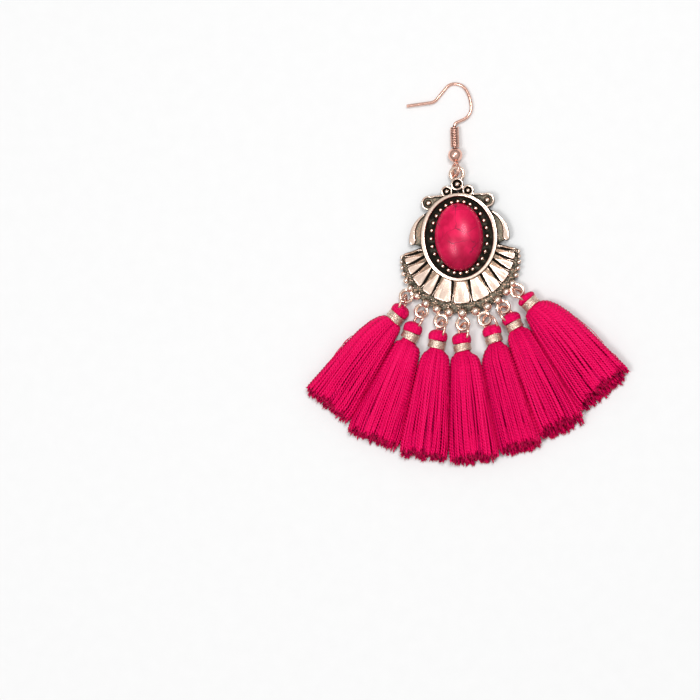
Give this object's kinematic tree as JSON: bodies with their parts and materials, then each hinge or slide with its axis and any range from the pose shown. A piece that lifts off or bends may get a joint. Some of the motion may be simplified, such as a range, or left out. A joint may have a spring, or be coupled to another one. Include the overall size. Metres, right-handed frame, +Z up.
{
  "type": "tassel earring",
  "caption": "Drop earring lying flat: a wire hook, a cast antique rose-gold fan round an oval crimson stone, and crimson thread tassels that fan out on jump rings",
  "frame": {"origin": "middle of the underside of the earring's box, on the table that it lies on", "axes": "+Z up from the table, +Y from the tassels towards the hook, +X to the right as the stone is seen"},
  "size_m": [0.0664, 0.0788, 0.0052],
  "materials": {
    "wire": "polished, rose-gold plated",
    "casting": "antique rose-gold plating with blackened recesses",
    "stone": "polished, dyed, with fine dark veins",
    "thread": "soft sheen of spun rayon thread",
    "metallic_thread": "glinting metallic thread"
  },
  "bodies": {
    "root": {"ear_wire": "wire", "wire_coil": "wire", "wire_ball": "wire", "setting": "casting", "stone": "stone", "jump_ring_1": "wire", "jump_ring_2": "wire", "jump_ring_3": "wire", "jump_ring_4": "wire", "jump_ring_5": "wire", "jump_ring_6": "wire", "jump_ring_7": "wire", "tassel_1": "thread", "tassel_2": "thread", "tassel_3": "thread", "tassel_4": "thread", "tassel_5": "thread", "tassel_6": "thread", "tassel_7": "thread", "binding_1": "metallic_thread", "binding_2": "metallic_thread", "binding_3": "metallic_thread", "binding_4": "metallic_thread", "binding_5": "metallic_thread", "binding_6": "metallic_thread", "binding_7": "metallic_thread"}
  },
  "joints": []
}
